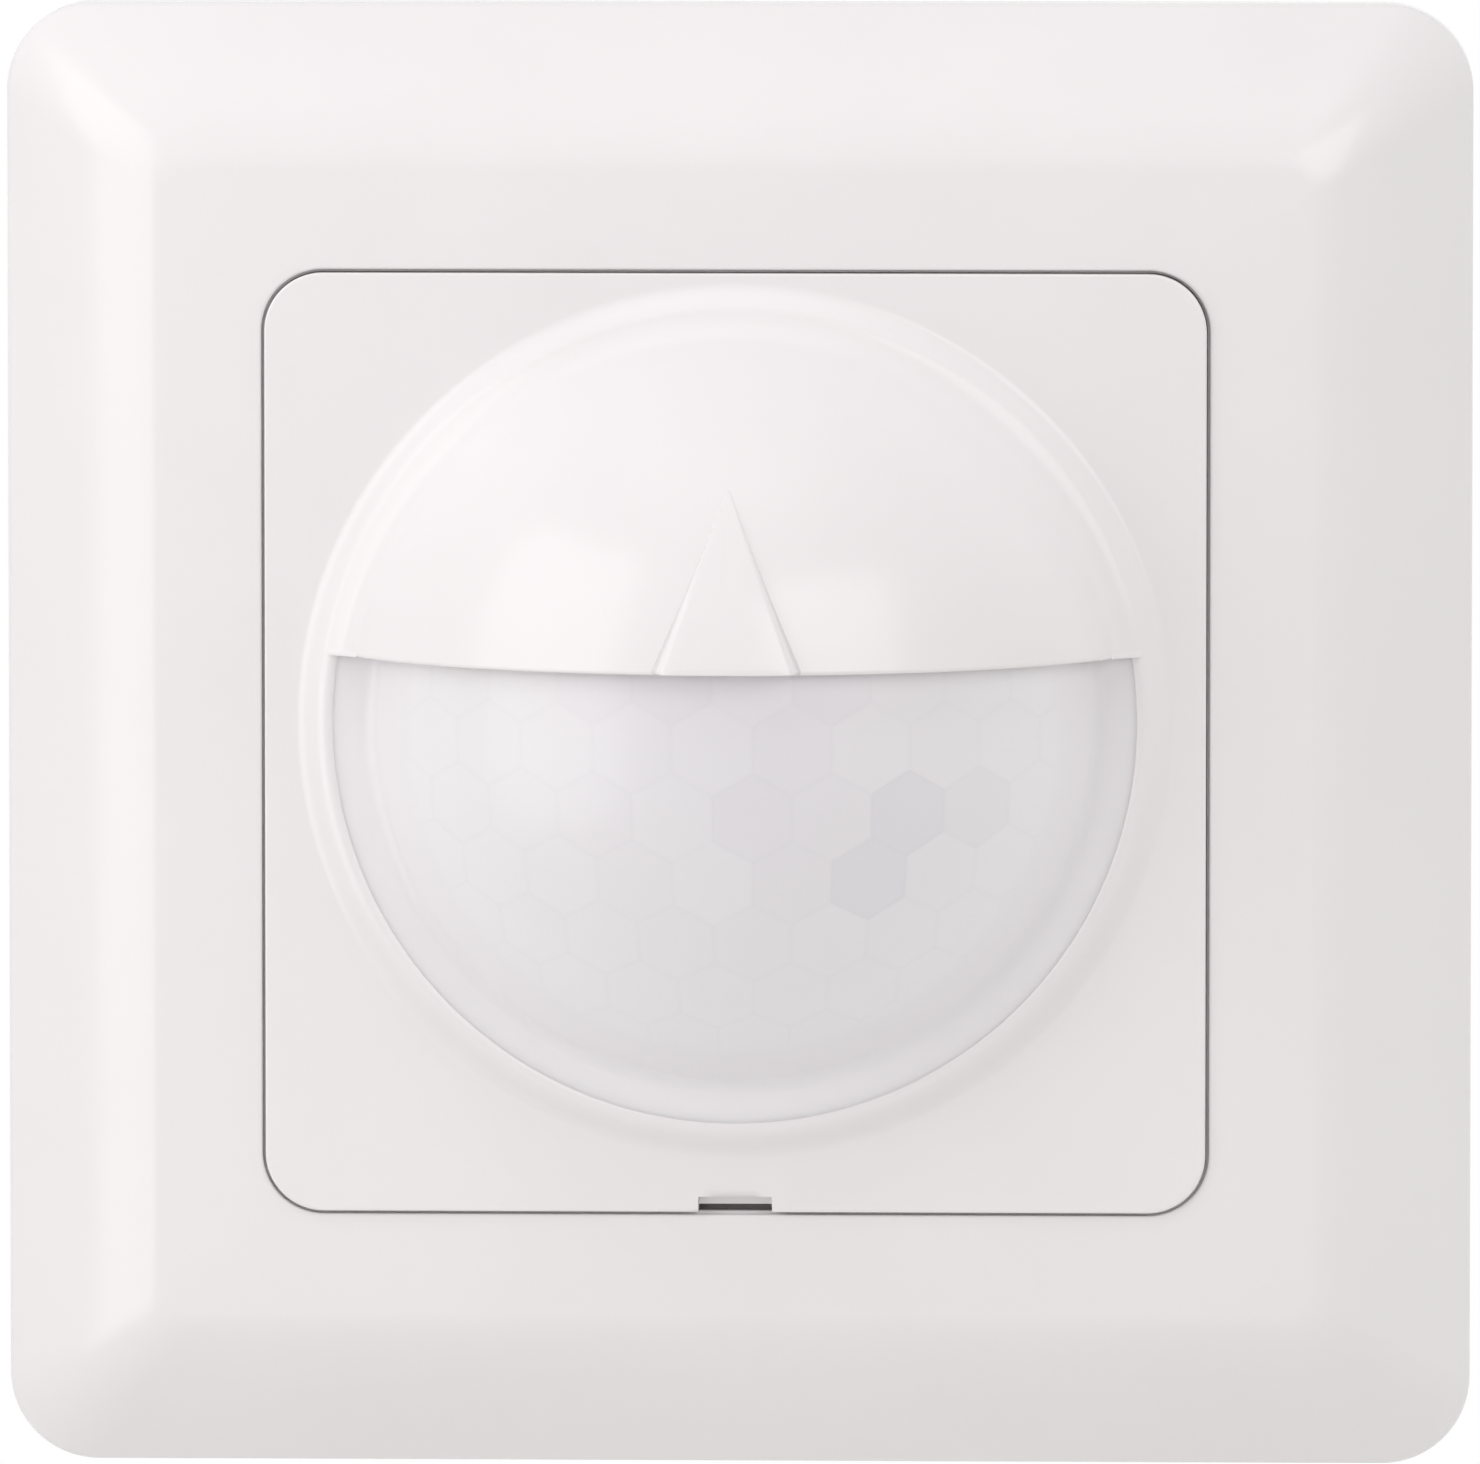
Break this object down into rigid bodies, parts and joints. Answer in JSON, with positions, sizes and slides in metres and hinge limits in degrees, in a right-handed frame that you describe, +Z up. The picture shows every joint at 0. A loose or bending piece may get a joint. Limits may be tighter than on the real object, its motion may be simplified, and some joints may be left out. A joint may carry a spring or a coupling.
{
  "type": "motion detector",
  "caption": "Square flush-mounted motion detector with a sloping cover frame, a plate with a half hood over a domed milky lens, and an insert that screws or claws into a wall box.",
  "frame": {"origin": "centre of the two box screw holes, on the support ring's back face, which lies on the wall", "axes": "+Z up, +Y into the wall, the lens faces -Y, X across"},
  "size_m": [0.086, 0.0566, 0.086],
  "materials": {
    "white_gloss": "glossy moulded",
    "milky_lens": "translucent satin",
    "white_satin": "satin moulded",
    "grey_plastic": "fine textured",
    "dark_plastic": "fine textured",
    "zinc_steel": "zinc plated sheet",
    "screw_steel": "bright plated",
    "spring_steel": "polished strip",
    "brass": "drawn",
    "copper": "tinned copper strip",
    "circuit_board": "solder mask",
    "can_nickel": "nickel plated",
    "filter_window": "polished",
    "ceramic_chip": "fired",
    "black_epoxy": "moulded epoxy",
    "clear_epoxy": "clear epoxy",
    "lamp_red": "tinted epoxy",
    "knob_orange": "moulded",
    "trimmer_blue": "moulded",
    "relay_blue": "moulded",
    "coil_copper": "enamelled wire",
    "relay_iron": "nickel plated iron",
    "film_yellow": "epoxy filled case",
    "sleeve_black": "heat shrink sleeve",
    "varistor_blue": "dipped epoxy",
    "fuse_brown": "moulded",
    "ferrite": "sintered",
    "terminal_grey": "moulded"
  },
  "bodies": {
    "insert": {"support_ring": "zinc_steel", "front_carrier": "grey_plastic", "cover_springs": "spring_steel", "carrier_screws": "screw_steel", "inner_cover": "white_satin", "sensor_board": "circuit_board", "board_screws": "screw_steel", "sensor_spacer": "dark_plastic", "sensor_header": "can_nickel", "sensor_can": "can_nickel", "sensor_window": "filter_window", "sensor_element": "ceramic_chip", "light_sensor": "clear_epoxy", "status_lamp": "lamp_red", "controller_chip": "black_epoxy", "small_chips": "ceramic_chip", "trimmer_bodies": "trimmer_blue", "link_plug": "dark_plastic", "link_socket": "dark_plastic", "link_pins": "brass", "insert_housing": "dark_plastic", "power_board": "circuit_board", "relay_case": "relay_blue", "relay_base": "dark_plastic", "relay_coil": "coil_copper", "relay_bobbin": "terminal_grey", "relay_yoke": "relay_iron", "relay_contacts": "brass", "film_capacitor": "film_yellow", "smoothing_capacitor": "sleeve_black", "supply_capacitor": "sleeve_black", "varistor": "varistor_blue", "fuse": "fuse_brown", "choke": "ferrite", "rectifier": "black_epoxy", "terminal_block": "terminal_grey", "busbars": "copper"},
    "frame": {"cover_frame": "white_gloss"},
    "cover": {"front_cover": "white_gloss", "fresnel_lens": "milky_lens", "lens_retainer": "white_satin"},
    "brightness_knob": {"brightness_knob": "knob_orange"},
    "time_knob": {"time_knob": "knob_orange"},
    "range_knob": {"range_knob": "knob_orange"},
    "relay_armature": {"relay_armature": "relay_iron"},
    "claw_screw_left": {"claw_screw_left": "screw_steel"},
    "claw_nut_left": {"claw_nut_left": "brass"},
    "claw_left": {"claw_left": "zinc_steel"},
    "claw_screw_right": {"claw_screw_right": "screw_steel"},
    "claw_nut_right": {"claw_nut_right": "brass"},
    "claw_right": {"claw_right": "zinc_steel"},
    "terminal_screw_1": {"terminal_screw_1": "screw_steel"},
    "terminal_cage_1": {"terminal_cage_1": "zinc_steel"},
    "terminal_screw_2": {"terminal_screw_2": "screw_steel"},
    "terminal_cage_2": {"terminal_cage_2": "zinc_steel"},
    "terminal_screw_3": {"terminal_screw_3": "screw_steel"},
    "terminal_cage_3": {"terminal_cage_3": "zinc_steel"}
  },
  "joints": [
    {"name": "frame_pull", "type": "slide", "parent": "insert", "child": "frame", "axis": [0, -1, 0], "range_m": [0, 0.025]},
    {"name": "cover_pull", "type": "slide", "parent": "frame", "child": "cover", "axis": [0, -1, 0], "range_m": [0, 0.03]},
    {"name": "brightness_knob_turn", "type": "hinge", "parent": "insert", "child": "brightness_knob", "pos_m": [-0.0095, -0.0088, -0.0077], "axis": [0, -1, 0], "range_deg": [-135, 135]},
    {"name": "time_knob_turn", "type": "hinge", "parent": "insert", "child": "time_knob", "pos_m": [0, -0.0088, -0.0127], "axis": [0, -1, 0], "range_deg": [-135, 135]},
    {"name": "range_knob_turn", "type": "hinge", "parent": "insert", "child": "range_knob", "pos_m": [0.0095, -0.0088, -0.0077], "axis": [0, -1, 0], "range_deg": [-135, 135]},
    {"name": "claw_screw_left_turn", "type": "hinge", "parent": "insert", "child": "claw_screw_left", "pos_m": [-0.0245, 0.01, 0], "axis": [0, 1, 0], "range_deg": [0, 2160]},
    {"name": "claw_nut_left_slide", "type": "slide", "parent": "insert", "child": "claw_nut_left", "axis": [0, -1, 0], "range_m": [0, 0.003]},
    {"name": "claw_left_swing", "type": "hinge", "parent": "claw_nut_left", "child": "claw_left", "pos_m": [-0.0245, 0.019, 0], "axis": [0, 0, 1], "range_deg": [0, 20]},
    {"name": "claw_screw_right_turn", "type": "hinge", "parent": "insert", "child": "claw_screw_right", "pos_m": [0.0245, 0.01, 0], "axis": [0, 1, 0], "range_deg": [0, 2160]},
    {"name": "claw_nut_right_slide", "type": "slide", "parent": "insert", "child": "claw_nut_right", "axis": [0, -1, 0], "range_m": [0, 0.003]},
    {"name": "claw_right_swing", "type": "hinge", "parent": "claw_nut_right", "child": "claw_right", "pos_m": [0.0245, 0.019, 0], "axis": [0, 0, -1], "range_deg": [0, 20]},
    {"name": "terminal_screw_1_turn", "type": "hinge", "parent": "insert", "child": "terminal_screw_1", "pos_m": [-0.011, 0.028, -0.0199], "axis": [0, -1, 0], "range_deg": [0, 1440]},
    {"name": "terminal_cage_1_slide", "type": "slide", "parent": "insert", "child": "terminal_cage_1", "axis": [0, 1, 0], "range_m": [0, 0.0024]},
    {"name": "terminal_screw_2_turn", "type": "hinge", "parent": "insert", "child": "terminal_screw_2", "pos_m": [0, 0.028, -0.0199], "axis": [0, -1, 0], "range_deg": [0, 1440]},
    {"name": "terminal_cage_2_slide", "type": "slide", "parent": "insert", "child": "terminal_cage_2", "axis": [0, 1, 0], "range_m": [0, 0.0024]},
    {"name": "terminal_screw_3_turn", "type": "hinge", "parent": "insert", "child": "terminal_screw_3", "pos_m": [0.011, 0.028, -0.0199], "axis": [0, -1, 0], "range_deg": [0, 1440]},
    {"name": "terminal_cage_3_slide", "type": "slide", "parent": "insert", "child": "terminal_cage_3", "axis": [0, 1, 0], "range_m": [0, 0.0024]},
    {"name": "relay_armature_swing", "type": "hinge", "parent": "insert", "child": "relay_armature", "pos_m": [-0.0053, 0.0189, 0.00575], "axis": [0, 0, 1], "range_deg": [0, 3]}
  ],
  "couplings": [
    {"joint": "claw_screw_left_turn", "follows": "claw_nut_left_slide", "rad_per_m": 12566},
    {"joint": "claw_left_swing", "follows": "claw_nut_left_slide", "rad_per_m": 116.36},
    {"joint": "claw_screw_right_turn", "follows": "claw_nut_right_slide", "rad_per_m": 12566},
    {"joint": "claw_right_swing", "follows": "claw_nut_right_slide", "rad_per_m": 116.36},
    {"joint": "terminal_screw_1_turn", "follows": "terminal_cage_1_slide", "rad_per_m": 10472},
    {"joint": "terminal_screw_2_turn", "follows": "terminal_cage_2_slide", "rad_per_m": 10472},
    {"joint": "terminal_screw_3_turn", "follows": "terminal_cage_3_slide", "rad_per_m": 10472}
  ]
}
